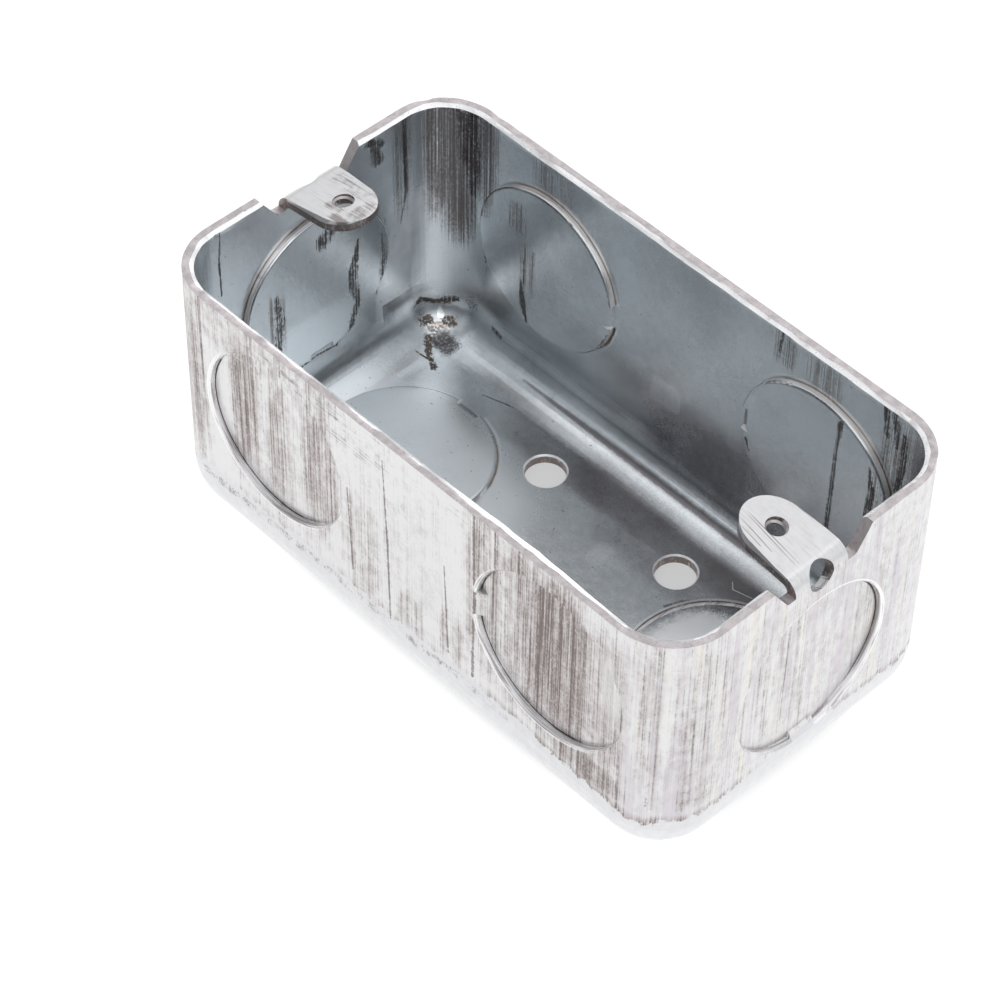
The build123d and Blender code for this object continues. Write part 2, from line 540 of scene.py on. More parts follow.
# Drawing streaks on the outer walls: wall, spans and strength
OUTER_STREAKS = (
    (NEAR, (-52, -39), (9, 50), 0.66),
    (NEAR, (-36.5, -29), (14, 48), 0.74),
    (NEAR, (-29, -22), (12, 42), 0.64),
    (NEAR, (-50, -8), (37, 49), 0.48),
    (NEAR, (-22, -13), (12, 46), 0.68),
    (NEAR, (-13, -3), (11, 34), 0.44),
    (NEAR, (-9, -4), (11, 20), 0.5),
    (NEAR, (-1, 5), (11, 20), 0.52),
    (NEAR, (7, 13), (11, 24), 0.52),
    (NEAR, (12, 20), (14, 50), 0.64),
    (NEAR, (18, 27), (13, 50), 0.72),
    (NEAR, (21, 37), (11, 48), 0.98),
    (NEAR, (33, 44), (12, 46), 0.66),
    (NEAR, (40, 56), (10, 50), 0.5),
    (NEAR, (28, 44), (10.6, 17), 0.85),
    (RIGHT, (-30, -12), (8, 50), 0.4),
    (RIGHT, (-18, 10), (8, 50), 0.34),
    (RIGHT, (6, 30), (8, 50), 0.26),
    (RIGHT, (-24.5, -18), (11, 17.5), 0.55),
    (RIGHT, (9.5, 13.5), (20, 35), 0.45),
)

# Places on the near wall that are scraped pale again
PALE_SCRAPES = (
    (NEAR, (34, 37.6), (40.5, 45), 1.0),
    (NEAR, (36.5, 41.5), (24, 41), 0.6),
    (NEAR, (44, 49), (30, 42), 0.4),
)

# Places below the rim with fine scuffs along it
OUTER_SCUFFS = (
    (NEAR, (-40, 6), (37, 46), 0.5),
    (NEAR, (-6, 26), (39, 46), 0.36),
)

# Single lines on the outer walls: wall, then stops with their place and half width
OUTER_LINES = (
    (NEAR, (-3.4, 42, 0.1), (-2.6, 26, 0.2), (-2.2, 11, 0.16)),
    (NEAR, (-10.6, 31, 0.1), (-9.8, 15, 0.18)),
    (NEAR, (8.6, 31, 0.1), (9.4, 14, 0.18)),
    (NEAR, (14.2, 47, 0.3), (14.4, 30, 0.24), (14.2, 13, 0.3)),
    (NEAR, (18.2, 46, 0.2), (18.4, 30, 0.12)),
    (NEAR, (46.0, 24, 0.1), (45.6, 13, 0.25)),
)

# Combs of burnt grease dragged up the inner walls
GREASE_COMBS = (
    (LEFT_CORNER, (-49.5, -43.5), (21, 52), 0.95),
    (LEFT_CORNER, (-47, -41), (17, 46), 1.0),
    (FAR_IN, (-44, -37), (26, 50), 0.85),
    (LEFT_IN, (15, 19.5), (24, 48), 0.5),
    (LEFT_IN, (-10.2, -6.4), (14, 29), 0.6),
    (FAR_IN, (-34.5, -30), (28, 36), 0.5),
    (FAR_IN, (-32, -28), (17, 29), 0.5),
    (FAR_IN, (-31, -21), (38, 47), 0.42),
    (FAR_IN, (16.5, 21.5), (38, 47), 0.5),
    (FAR_IN, (22, 30), (38, 46), 0.46),
    (FAR_IN, (36, 47), (14, 47), 0.55),
)

# Strokes of burnt grease on the inner walls: wall, then stops with their place and half width
GREASE_STROKES = (
    (
        LEFT_IN,
        (7.6, 28.6, 0.25),
        (6.7, 24.5, 0.75),
        (6.2, 20.8, 0.8),
        (7.2, 16.4, 0.6),
        (6.0, 12.0, 0.5),
        (3.6, 8.6, 0.2),
    ),
    (LEFT_IN, (12.0, 27.0, 0.15), (12.6, 22.0, 0.5), (12.1, 19.0, 0.5), (11.8, 14.0, 0.15)),
    (LEFT_IN, (-8.2, 27.0, 0.4), (-7.8, 22.0, 0.8), (-8.4, 16.0, 0.7)),
    (LEFT_IN, (3.0, 34.0, 1.2), (1.0, 32.4, 1.3)),
    (LEFT_IN, (11.0, 44.5, 0.7), (13.2, 43.0, 0.6)),
    (LEFT_IN, (12.0, 43.0, 0.7), (12.6, 40.0, 0.9)),
    (LEFT_IN, (-17.0, 45.0, 0.1), (-17.4, 39.0, 0.2), (-17.3, 33.0, 0.12)),
    (LEFT_IN, (17.7, 46.0, 0.4), (18.0, 31.0, 0.3), (16.8, 25.0, 0.12)),
    (LEFT_IN, (3.6, 8.7, 0.15), (-0.5, 9.2, 0.2), (-4.0, 8.6, 0.25)),
    (FAR_IN, (-43.2, 47.0, 1.7), (-42.6, 36.0, 1.5), (-42.4, 29.5, 0.6)),
    (FAR_IN, (-40.0, 28.6, 0.4), (-40.0, 27.6, 0.4)),
    (FAR_IN, (-40.2, 25.0, 0.15), (-40.0, 20.0, 0.4), (-39.8, 17.0, 0.12)),
    (FAR_IN, (-30.8, 27.0, 0.12), (-30.7, 20.0, 0.2)),
    (FAR_IN, (-28.8, 28.0, 0.12), (-28.8, 20.5, 0.16)),
    (FAR_IN, (-31.3, 20.0, 0.2), (-31.0, 16.3, 0.7), (-30.0, 12.6, 0.35)),
    (FAR_IN, (-12.9, 22.8, 0.25), (-14.2, 19.2, 0.45), (-16.0, 16.5, 0.08)),
    (FAR_IN, (-39.0, 5.8, 0.3), (-35.4, 5.2, 0.35)),
    (FAR_IN, (18.4, 45.4, 0.2), (18.0, 41.2, 0.3)),
    (FAR_IN, (30.7, 37.5, 0.5), (30.3, 32.0, 0.3), (30.3, 25.5, 0.36), (30.2, 12.0, 0.5)),
    (FAR_IN, (36.4, 33.2, 0.2), (37.2, 29.0, 0.55), (36.6, 20.0, 0.5)),
    (FAR_IN, (37.2, 45.6, 0.5), (37.8, 40.0, 0.4)),
    (FAR_IN, (38.8, 45.4, 0.6), (39.6, 39.0, 0.4)),
    (FAR_IN, (40.9, 42.0, 0.4), (41.2, 36.5, 0.6), (40.4, 30.0, 0.45)),
    (FAR_IN, (14.3, 21.8, 0.25), (14.9, 20.0, 0.3)),
    (FLOOR_IN, (-38.8, 7.4, 0.08), (-35.0, 8.4, 0.12)),
    (FLOOR_IN, (-31.0, 17.2, 0.06), (-26.0, 18.8, 0.12)),
    (FLOOR_IN, (17.0, 7.6, 0.25), (18.0, 10.0, 0.3), (20.4, 12.6, 0.25)),
)

# Haze on the inner faces, partly a dull film and partly painted shade and painted dark reflections, and
# patches of painted light
PAINTED_SHADE_HAZE = (
    (FAR_IN, (-18, 14), (3, 20), 0.45),
    (FAR_IN, (-4, 26), (1, 20), 0.55),
    (FAR_IN, (-40, -14), (14, 40), 0.12),
    (LEFT_CORNER, (-48, -38), (2, 30), 0.2),
    (FLOOR_IN, (-30, 54), (12.5, 21), 0.72),
    (FLOOR_IN, (-6, 56), (8, 21), 0.6),
    (FLOOR_IN, (12, 58), (6, 21), 0.3),
)

# Painted dark reflection along the far round
DARK_REFLECTION_STROKES = ((FLOOR_IN, (-28, 23.0, 0.2), (-8, 23.0, 0.42), (47, 23.0, 0.5)),)

# Fine bright scratch on the floor
SCRATCHES = ((FLOOR_IN, (20.3, 17.9, 0.05), (21.3, 16.9, 0.08), (24.4, 17.7, 0.05)),)

# Places scraped matt: the face of the level slug and the left wall beside the far corner
FROSTED = (
    (FLOOR_IN, (17, 48), (-12, 14), 1.0),
    (LEFT_IN, (12, 25), (5, 35), 0.32),
)

# Painted light: patches where the inner zinc is painted brighter, standing in for light and bright
# reflections
PAINTED_LIGHT_PATCHES = (
    (FAR_IN, (-5.5, 1.0), (14.5, 20), 0.9),
    (LEFT_IN, (11, 19), (6.5, 15), 0.9),
    (LEFT_IN, (13, 23), (9, 33), 0.8),
    (LEFT_IN, (-12, 10), (7.5, 20), 0.7),
    (LEFT_CORNER, (-50, -38), (5, 28), 0.7),
    (FAR_IN, (-40, -34), (13, 22), 0.4),
    (FLOOR_IN, (-52, -4), (-26, 14), 1.0),
    (FLOOR_IN, (1.5, 5.5), (5, 10.5), 0.35),
)

# Caked dirt in the far left corner: cakes, an arc of stain above them, a drip below, a painted shade low in
# the corner, a golden band and a white chip
CORNER_CAKES = (
    ((-46.3, 19.9, 4.2), (1.1, 1.5, 0.9), 0.9),
    ((-44.0, 22.6, 3.9), (1.5, 1.1, 0.8), 0.9),
    ((-45.0, 20.6, 3.0), (1.7, 1.5, 0.5), 0.55),
    ((-42.2, 25.6, 7.2), (1.3, 0.8, 1.4), 0.5),
)
ROUND_TRAIL = (1.0, 1.0, 1.0)
CORNER_ARC = (
    (
        ROUND_TRAIL,
        ((-48.4, 18.0, 5.6), 0.1),
        ((-48.0, 20.4, 7.4), 0.45),
        ((-46.9, 22.0, 6.5), 0.35),
        ((-45.5, 23.7, 6.6), 0.65),
        ((-44.4, 24.6, 7.0), 0.4),
    ),
)
CORNER_DRIP = (
    (FLOOR_IN, (-44.6, 18.8, 0.7), (-43.0, 17.3, 0.55), (-41.4, 16.5, 0.35), (-40.2, 15.8, 0.55)),
    (FLOOR_IN, (-44.6, 15.6, 0.1), (-42.0, 16.4, 0.18)),
)
CORNER_PAINTED_SHADE = (((-42.4, 20.2, 2.3), (2.6, 2.0, 1.4), 1.0),)
GOLDEN_BAND = (((-45.1, 21.2, 3.4), (2.2, 2.2, 0.5), 0.8),)
WHITE_CHIP = ((ROUND_TRAIL, ((-46.0, 22.5, 5.6), 0.25), ((-45.5, 22.2, 4.6), 0.5)),)

# Thin line of stain just above the bottom round: its height, its half width and where it ends along X
TIDE_Z = 10.3
TIDE_HALF = 1.0
TIDE_END = (30.0, 10.0)

# Outer walls, each from where a look starts to where it is whole: the worn edge above the round and the top
# of the stain on it, in Z, the tinted right end, in X, and the streaks of the far and left walls, in Y and X
WORN_EDGE = (11.3, 12.0)
STAIN_TOP = (14.0, 11.8)
RIGHT_END = (35.0, 47.0)
FAR_STREAKS_Y = (-24.0, -19.0)
FAR_STREAKS_X = (47.0, 42.0)


def drawn_outside(colours):
    """Pale ironed zinc, dry-brushed up the walls with brown-grey streaks, above a worn edge at the round,
    below which it is painted whiter towards the floor as a painted reflection of it.
    """
    material, tree, shader, point = new_material("drawn_outside")
    x, y, z = put(tree, "ShaderNodeSeparateXYZ", {0: point}).outputs
    hair, streak, grain, grit, mottle, cloud = rubbed(tree, point, *SHEET_PATTERNS)

    # Where the walls are streaked
    right_end = ramp(tree, x, *RIGHT_END, 0.0, 0.85)
    worn = blended(tree, z, (cloud, 7.0), (mottle, 4.0), (grain, 1.2), (right_end, 1.8))
    above_round = ramp(tree, worn, *WORN_EDGE)
    stained = ramp(tree, cloud, -0.1, 0.15, 0.25, 0.85)
    tide = math_of(tree, "MULTIPLY", above_round, ramp(tree, worn, *STAIN_TOP), stained)
    patchy = blended(tree, 0.42, (cloud, 2.2))
    behind = math_of(tree, "MULTIPLY", ramp(tree, y, *FAR_STREAKS_Y), ramp(tree, x, *FAR_STREAKS_X), patchy)
    zone = math_of(tree, "MAXIMUM", marks_mask(tree, point, OUTER_STREAKS), behind, tide)
    scraped = blended(tree, marks_mask(tree, point, PALE_SCRAPES), (mottle, 1.4), (hair, 0.7))
    kept = math_of(tree, "MULTIPLY", above_round, ramp(tree, scraped, 0.3, 0.9, 1.0, 0.2))

    # Wash, brush marks, stain, scuffs and lines
    washed = blended(tree, zone, (streak, 1.2), (hair, 0.9), (mottle, 1.2))
    wash = math_of(tree, "MULTIPLY", ramp(tree, washed, 0.05, 0.9, 0.0, 0.78), kept)
    brushed = blended(tree, zone, (hair, 2.3), (streak, 1.3), (grain, 1.0), (mottle, 0.7))
    brush = math_of(tree, "MULTIPLY", ramp(tree, brushed, 0.46, 1.35, 0.0, 0.95), kept)
    edge_z = blended(tree, z, (cloud, 3.0), (mottle, 1.2))
    off_edge = math_of(tree, "ABSOLUTE", math_of(tree, "SUBTRACT", edge_z, TIDE_Z))
    trace = ramp(tree, off_edge, TIDE_HALF, 0.3, 0.0, 0.8)
    specks = ramp(tree, blended(tree, mottle, (grain, 0.6), (grit, 0.4)), -0.05, 0.25)
    trace = math_of(tree, "MULTIPLY", trace, ramp(tree, x, *TIDE_END), specks)
    along = math_of(tree, "SUBTRACT", noise(tree, point, (0.1, 0.1, 3.0), 3.0, 0.6, (6.0, 2.0, 3.0)), 0.5)
    scuffed = blended(tree, marks_mask(tree, point, OUTER_SCUFFS), (along, 2.6), (mottle, 1.1))
    scuff = ramp(tree, scuffed, 0.6, 1.1, 0.0, 0.7)
    scored = blended(tree, strokes_mask(tree, point, OUTER_LINES), (grain, 1.4), (mottle, 1.2))
    line = ramp(tree, scored, 0.4, 1.0, 0.0, 0.8)
    dark = math_of(tree, "MAXIMUM", brush, scuff, line, trace)
    ring_shade_line, rolled = ring_lines(tree, point, SLUGS[:-1], False)
    ring_shade = blended(tree, ring_shade_line, (mottle, 1.2))

    # Colours
    white = tinted(colours.drawn, 1.08, 1.09, 1.1)
    band = tinted(colours.drawn, 0.93, 0.935, 0.95)
    lilac = tinted(colours.drawn, 0.84, 0.8, 0.85)
    cream = tinted(colours.drawn, 1.05, 1.01, 0.93)
    # Painted reflection: below the worn edge the round is painted whiter towards the floor, standing in for
    # the floor's reflection
    ironed = blended(tree, z, (mottle, 16.0), (along, 14.0))
    round_with_floor_reflection = mixed(tree, ramp(tree, ironed, 0.0, 12.0), white, band)
    clouds = blended(tree, mottle, (cloud, 1.2), (hair, 0.8), (grain, 0.7))
    pale = mixed(tree, ramp(tree, clouds, -0.1, 0.4), colours.drawn, tinted(colours.drawn, 0.84))
    tint = noise(tree, point, (0.42, 0.42, 0.04), 4.0, 0.62, (1.0, 5.0, 2.0))
    for span, shade in (((0.52, 0.36), lilac), ((0.54, 0.66), cream)):
        pale = mixed(tree, math_of(tree, "MULTIPLY", ramp(tree, tint, *span), right_end), pale, shade)
    colour = mixed(tree, wash, mixed(tree, above_round, round_with_floor_reflection, pale), colours.wash)
    colour = mixed(tree, dark, colour, colours.streak)
    # Painted highlight on the knockouts' rolled edges, then the painted shade line on their circles
    colour = mixed(tree, math_of(tree, "MULTIPLY", rolled, 0.75), colour, BURNISH_AND_HIGHLIGHT)
    colour = mixed(tree, ramp(tree, ring_shade, 0.4, 0.9), colour, colours.smudge)
    finished(tree, shader, colour, ramp(tree, dark, 0.0, 0.8, 0.3, 0.5), mottle, 0.06, 0.5)
    return material


def on_walls(marks, walls):
    """Those of the given marks or strokes that lie on one of the walls."""
    return [mark for mark in marks if mark[0] in walls]


def add_corner_dirt(tree, point, colour, colours):
    """Caked dirt and a painted shade of the far left corner laid over a colour: the new colour and where the
    dirt is.
    """
    crumbs = noise(tree, point, (2.6, 2.6, 2.6), 4.0, 0.65, (3.0, 1.0, 7.0))
    spread = math_of(tree, "SUBTRACT", crumbs, 0.5)
    # Painted shade: a dark patch low in the corner
    painted_dark = blended(tree, spots_mask(tree, point, CORNER_PAINTED_SHADE), (spread, 1.8))
    colour = mixed(tree, ramp(tree, painted_dark, 0.1, 1.1, 0.0, 0.92), colour, tinted(colours.haze, 0.35))
    arc = trails_mask(tree, point, CORNER_ARC)
    drip = strokes_mask(tree, point, CORNER_DRIP)
    caked = math_of(tree, "MAXIMUM", spots_mask(tree, point, CORNER_CAKES), arc, drip)
    ragged = ramp(tree, blended(tree, caked, (spread, 3.0)), 0.3, 1.0)
    cake = math_of(tree, "MULTIPLY", ragged, ramp(tree, caked, 0.0, 0.4))
    banded = blended(tree, spots_mask(tree, point, GOLDEN_BAND), (spread, 2.4))
    gilded = ramp(tree, banded, 0.3, 1.2, 0.0, 0.75)
    gold = mixed(tree, ramp(tree, crumbs, 0.35, 0.65), colours.grease, tinted(colours.grease, 1.7))
    colour = mixed(tree, gilded, colour, gold)
    dirt = mixed(tree, ramp(tree, crumbs, 0.46, 0.7), colours.smudge, colours.grease)
    colour = mixed(tree, math_of(tree, "MULTIPLY", cake, 0.94), colour, dirt)
    chip = ramp(tree, trails_mask(tree, point, WHITE_CHIP), 0.3, 0.6)
    return mixed(tree, chip, colour, (1.0, 1.0, 1.0)), math_of(tree, "MAXIMUM", cake, gilded)


# Painted shade: span in X over which the zinc's painted brightness turns from that of the left end to the
# darker one of the rest
PAINTED_SHADE_SPAN = (-39.0, -27.0)
END_PAINTED_SHADE = (1.0, 0.85)
NO_PAINTED_SHADE = (1.0, 1.0)


def zinc_inside(colours, name, painted_shades, walls=(), slugs=(), corner=False):
    """Blue-grey zinc with soft waves, patches of painted light, a painted shade along X, haze that is partly
    dull film and partly painted shade, and the burnt grease of the given walls.
    """
    material, tree, shader, point = new_material(name)
    hair, streak, grain, grit, mottle, cloud = rubbed(tree, point, *SHEET_PATTERNS)
    brown = tinted(colours.streak, 0.85)
    waves = blended(tree, cloud, (mottle, 0.6), (grit, 0.9))
    colour = mixed(tree, ramp(tree, waves, -0.25, 0.25), colours.zinc, tinted(colours.zinc, 0.78))
    dirt = ramp(tree, mottle, 0.1, 0.4, 0.0, 0.1)
    # Painted light: the zinc is painted brighter in these patches
    light_patches = on_walls(PAINTED_LIGHT_PATCHES, walls)
    if light_patches:
        light_patch = ramp(tree, blended(tree, marks_mask(tree, point, light_patches), (mottle, 0.3)), 0.0, 0.9)
        colour = mixed(tree, light_patch, colour, tinted(colours.zinc, 1.3))
        dirt = math_of(tree, "MAXIMUM", dirt, math_of(tree, "MULTIPLY", light_patch, light_patch, 0.55))
    # Painted shade: the zinc is darkened by this factor, graded along X where the two factors differ
    shade = painted_shades[0]
    if painted_shades[1] != shade:
        x = put(tree, "ShaderNodeSeparateXYZ", {0: point}).outputs[0]
        shade = ramp(tree, x, *PAINTED_SHADE_SPAN, *painted_shades)
    specks = noise(tree, point, (1.7, 1.7, 1.7), 1.0, 0.5, (1.0, 6.0, 2.0))
    colour = scaled(tree, colour, shade)
    colour = mixed(tree, ramp(tree, specks, 0.73, 0.79, 0.0, 0.6), colour, colours.streak)
    # Painted shade: haze patches darken the zinc where it reflects dark surroundings, partly a dull film
    shade_hazes = on_walls(PAINTED_SHADE_HAZE, walls)
    if shade_hazes:
        shade_hazed = blended(tree, marks_mask(tree, point, shade_hazes), (mottle, 0.2), (grit, 0.4), (cloud, 0.8))
        haze = ramp(tree, shade_hazed, 0.0, 1.0, 0.0, 0.85)
        colour = mixed(tree, haze, colour, colours.haze)
        dirt = blended(tree, dirt, (haze, 0.3))
    # Painted shade: a dark band along the far round stands in for a dark reflection
    dark_reflections = on_walls(DARK_REFLECTION_STROKES, walls)
    if dark_reflections:
        painted_dark = blended(tree, strokes_mask(tree, point, dark_reflections), (grit, 0.8), (mottle, 0.5))
        colour = mixed(tree, ramp(tree, painted_dark, 0.1, 0.9, 0.0, 0.8), colour, tinted(colours.haze, 0.6))
    combs = on_walls(GREASE_COMBS, walls)
    if combs:
        zone = marks_mask(tree, point, combs)
        combed = blended(tree, zone, (hair, 2.2), (streak, 1.2), (grain, 0.9))
        comb = math_of(tree, "MULTIPLY", ramp(tree, combed, 0.0, 1.15, 0.0, 0.94), ramp(tree, zone, 0.0, 0.5))
        colour = mixed(tree, comb, colour, brown)
        dirt = math_of(tree, "MAXIMUM", dirt, math_of(tree, "MULTIPLY", comb, 0.6))
    strokes = on_walls(GREASE_STROKES, walls)
    if strokes:
        depth = strokes_mask(tree, point, strokes)
        ragged = blended(tree, depth, (hair, 2.4), (grain, 1.8), (mottle, 1.1))
        stroke = ramp(tree, ragged, 0.3, 1.1, 0.0, 0.9)
        stroke = math_of(tree, "MULTIPLY", stroke, ramp(tree, depth, 0.0, 0.25))
        grease = mixed(tree, ramp(tree, grain, -0.05, 0.2), colours.smudge, brown)
        colour = mixed(tree, stroke, colour, grease)
        dirt = math_of(tree, "MAXIMUM", dirt, stroke)
    if slugs:
        # Painted shade line on the slugs' circles and painted highlight on their rolled edges
        ring_shade_line, rolled = ring_lines(tree, point, slugs, True)
        ring_shade = ramp(tree, blended(tree, ring_shade_line, (mottle, 1.2)), 0.4, 0.9, 0.0, 0.75)
        colour = mixed(tree, math_of(tree, "MULTIPLY", rolled, 0.5), colour, BURNISH_AND_HIGHLIGHT)
        colour = mixed(tree, ring_shade, colour, colours.grease)
    scratches = on_walls(SCRATCHES, walls)
    if scratches:
        colour = mixed(tree, strokes_mask(tree, point, scratches), colour, BURNISH_AND_HIGHLIGHT)
    frosts = on_walls(FROSTED, walls)
    if frosts:
        frosted = blended(tree, marks_mask(tree, point, frosts), (mottle, 0.5), (grit, 0.4))
        frost = ramp(tree, frosted, 0.1, 0.75)
        colour = mixed(tree, frost, colour, FROST)
        tree.links.new(ramp(tree, frost, 0.0, 1.0, 1.0, 0.15), shader.inputs["Metallic"])
    if corner:
        colour, cake = add_corner_dirt(tree, point, colour, colours)
        dirt = math_of(tree, "MAXIMUM", dirt, cake)
    roughness = ramp(tree, dirt, 0.0, 1.0, 0.26, 0.55)
    finished(tree, shader, colour, roughness, blended(tree, mottle, (cloud, 5.0)), 0.05, 0.4)
    return material


def sheared_edge(colours):
    """Cut top of the rim, with fine lines across it."""
    material, tree, shader, point = new_material("sheared_edge", 0.6)
    grain, mottle = rubbed(tree, point, "Grain", "Mottle")
    base = mixed(tree, ramp(tree, mottle, -0.15, 0.15), colours.sheared, tinted(colours.sheared, 0.78))
    colour = mixed(tree, ramp(tree, grain, 0.06, 0.3, 0.0, 0.6), base, colours.streak)
    finished(tree, shader, colour, ramp(tree, mottle, -0.2, 0.2, 0.34, 0.48), mottle, 0.08, 0.6)
    return material


def cut_edge(colours):
    """Dark cut sides of the ears and the holes, with bare bright patches."""
    material, tree, shader, point = new_material("cut_edge", 0.7)
    grain, mottle = rubbed(tree, point, "Grain", "Mottle")
    spread = blended(tree, mottle, (grain, 0.7))
    colour = mixed(tree, ramp(tree, spread, -0.02, 0.28), tinted(colours.streak, 1.2), colours.sheared)
    finished(tree, shader, colour, ramp(tree, mottle, -0.2, 0.2, 0.3, 0.45), mottle, 0.1, 0.6)
    return material


def lip_burnish_and_highlight(colours):
    """White band along the inside of the rim and around the floor holes' edges, partly burnished and partly a
    painted highlight.
    """
    material, tree, shader, point = new_material("lip_burnish_and_highlight", 0.35)
    (mottle,) = rubbed(tree, point, "Mottle")
    bright = tinted(colours.drawn, 1.28)
    colour = mixed(tree, ramp(tree, mottle, 0.05, 0.3, 0.0, 0.7), bright, colours.sheared)
    finished(tree, shader, colour, ramp(tree, mottle, -0.2, 0.2, 0.25, 0.4), mottle, 0.06, 0.5)
    return material


def sheared_ring(colours):
    """Sheared steps of the slugs, with brown lines and bright lines, partly a painted highlight, that run
    around them.
    """
    material, tree, shader, point = new_material("sheared_ring", 0.35)
    (mottle,) = rubbed(tree, point, "Mottle")
    y = put(tree, "ShaderNodeSeparateXYZ", {0: point}).outputs[1]
    long_wall = ramp(tree, math_of(tree, "ABSOLUTE", y), HALF_Y - 4.0, HALF_Y - 3.0)
    end_lines = noise(tree, point, (3.2, 0.12, 0.12), 3.0, 0.6, (2.0, 4.0, 1.0))
    wall_lines = noise(tree, point, (0.12, 3.2, 0.12), 3.0, 0.6, (2.0, 4.0, 1.0))
    lines = put(tree, "ShaderNodeMix", {0: long_wall, 2: end_lines, 3: wall_lines}).outputs[0]
    # Painted highlight: the bright lines are painted near white
    bright = tinted(colours.drawn, 1.25)
    colour = mixed(tree, ramp(tree, lines, 0.46, 0.62), bright, tinted(colours.sheared, 0.8))
    colour = mixed(tree, ramp(tree, mottle, 0.08, 0.3, 0.0, 0.6), colour, colours.streak)
    finished(tree, shader, colour, ramp(tree, lines, 0.3, 0.7, 0.2, 0.34), lines, 0.08, 0.6)
    return material


# Lines scored along the right ear, and brown patches on the left ear: places in X and Y
EAR_TOP = (2, 45.0, 0, 1)
EAR_LINES = (
    (EAR_TOP, (37.6, -1.2, 0.05), (47.5, -2.0, 0.1)),
    (EAR_TOP, (38.0, -1.6, 0.04), (47.2, -2.5, 0.1)),
    (EAR_TOP, (37.4, -2.6, 0.05), (44.0, -3.4, 0.07)),
    (EAR_TOP, (38.6, -3.5, 0.04), (42.5, -3.9, 0.06)),
)
EAR_PATCHES = (
    ((-40.5, 2.8, 44.8), (4.6, 1.5, 2.0), 0.5),
    ((-37.9, 0.4, 44.9), (1.5, 3.4, 2.0), 0.75),
    ((-38.8, -3.3, 44.9), (2.4, 0.9, 2.0), 0.85),
    ((-45.0, 3.4, 44.4), (3.4, 1.2, 2.0), 0.5),
    ((-41.6, -1.9, 44.7), (2.0, 0.8, 2.0), 0.75),
)


def brushed_ear(colours):
    """Bright ear with fine dark lines along X on the right one and brown patches on the left one."""
    material, tree, shader, point = new_material("brushed_ear", 0.75)
    mottle, cloud = rubbed(tree, point, "Mottle", "Cloud")
    lines = math_of(tree, "SUBTRACT", noise(tree, point, (0.12, 4.6, 1.0), 3.0, 0.6), 0.5)
    patches = blended(tree, spots_mask(tree, point, EAR_PATCHES), (lines, 1.8), (mottle, 1.2))
    patch = ramp(tree, patches, 0.3, 1.0, 0.0, 0.75)
    scored = math_of(tree, "MULTIPLY", strokes_mask(tree, point, EAR_LINES), 0.8)
    clouds = ramp(tree, blended(tree, mottle, (cloud, 0.5)), -0.1, 0.25)
    pale = mixed(tree, clouds, tinted(colours.drawn, 0.91), tinted(colours.drawn, 0.84))
    colour = mixed(tree, ramp(tree, lines, 0.0, 0.3, 0.0, 0.6), pale, colours.wash)
    colour = mixed(tree, math_of(tree, "MAXIMUM", patch, scored), colour, colours.streak)
    finished(tree, shader, colour, ramp(tree, patch, 0.0, 0.75, 0.3, 0.45), lines, 0.04, 0.5)
    return material


# Shape of the shell


def plan_gap(point):
    """How far a point in millimetres stands outside the box's outline from above, and the way out there."""
    over = Vector((max(abs(point.x) - HALF_X + CORNER_R, 0.0), max(abs(point.y) - HALF_Y + CORNER_R, 0.0)))
    sides = Vector((math.copysign(1.0, point.x), math.copysign(1.0, point.y)))
    if over.x > 0.0 and over.y > 0.0:
        return over.length - CORNER_R, Vector((over.x * sides.x, over.y * sides.y)).normalized()
    if abs(point.x) - HALF_X > abs(point.y) - HALF_Y:
        return abs(point.x) - HALF_X, Vector((sides.x, 0.0))
    return abs(point.y) - HALF_Y, Vector((0.0, sides.y))


def outward(point):
    """Direction away from the inside of the drawn shell at a point in millimetres."""
    gap, way = plan_gap(point)
    side = gap + BOTTOM_R
    below = BOTTOM_R - point.z
    if side > 0.0 and below > 0.0:
        return Vector((way.x * side, way.y * side, -below)).normalized()
    if gap > -point.z:
        return Vector((way.x, way.y, 0.0))
    return Vector((0.0, 0.0, -1.0))


# Slack in matching a point to a face or an edge, and the share of a direction that counts as square on to it
CLOSE = 0.02
SQUARE_ON = 0.9

# Right ear: middle of its hole's mouth, the hole's radius, half its width, its tilt and its upper edge's roll
EAR_HOLE = Vector((41.67, 0.0, 44.9))
EAR_HOLE_R = 1.6
EAR_HALF = 4.9
EAR_TILT = math.radians(8.0)
EAR_ROUND = 0.45

# Bounds of an ear's tongue: slack at its sides, how far it reaches below the rim and stays off the wall
EAR_SLACK = 0.05
EAR_DEEP = 5.6
EAR_CLEAR = 0.3

# Edges of the dirty corner at the far left, in X, Y and Z
CORNER_X = -37.5
CORNER_Y = 13.0
CORNER_Z = 10.5

# Rim: how far its bevel starts from the outer face, how low it reaches, the steps and depth of its cuts, and
# how far its lip is drawn in
BEVEL_START = 0.9
BEVEL_DROP = 0.3
RIM_CUT = 1.5
RIM_SKIN = 1.3
LIP_DRAW = 0.2

# Waves along the rim: how many in a millimetre, broad and fine
BROAD_WAVES = 0.21
FINE_WAVES = 0.6

# Where the near wall's lip leans in: its middle and half length in X
LEAN_X = 21.0
LEAN_HALF = 15.0

# Small nicks along the rim's outer edge: their places in X and Y, their reach and depth
NICKS = (
    (-43.8, -26.6),
    (-48.8, 22.2),
    (-45.9, 24.6),
    (48.2, 22.9),
    (48.4, -22.9),
    (-38.4, 27.65),
    (43.6, -27.0),
)
NICK_REACH = 0.9
NICK_DEPTH = 0.28


def even_planes(axis, middle, step, count):
    """Planes square to an axis at even steps on both sides of a middle, each as a point and a normal."""
    normal = Vector([float(index == axis) for index in range(3)])
    return [(normal * (middle + turn * step) * MM, normal) for turn in range(-count, count + 1)]


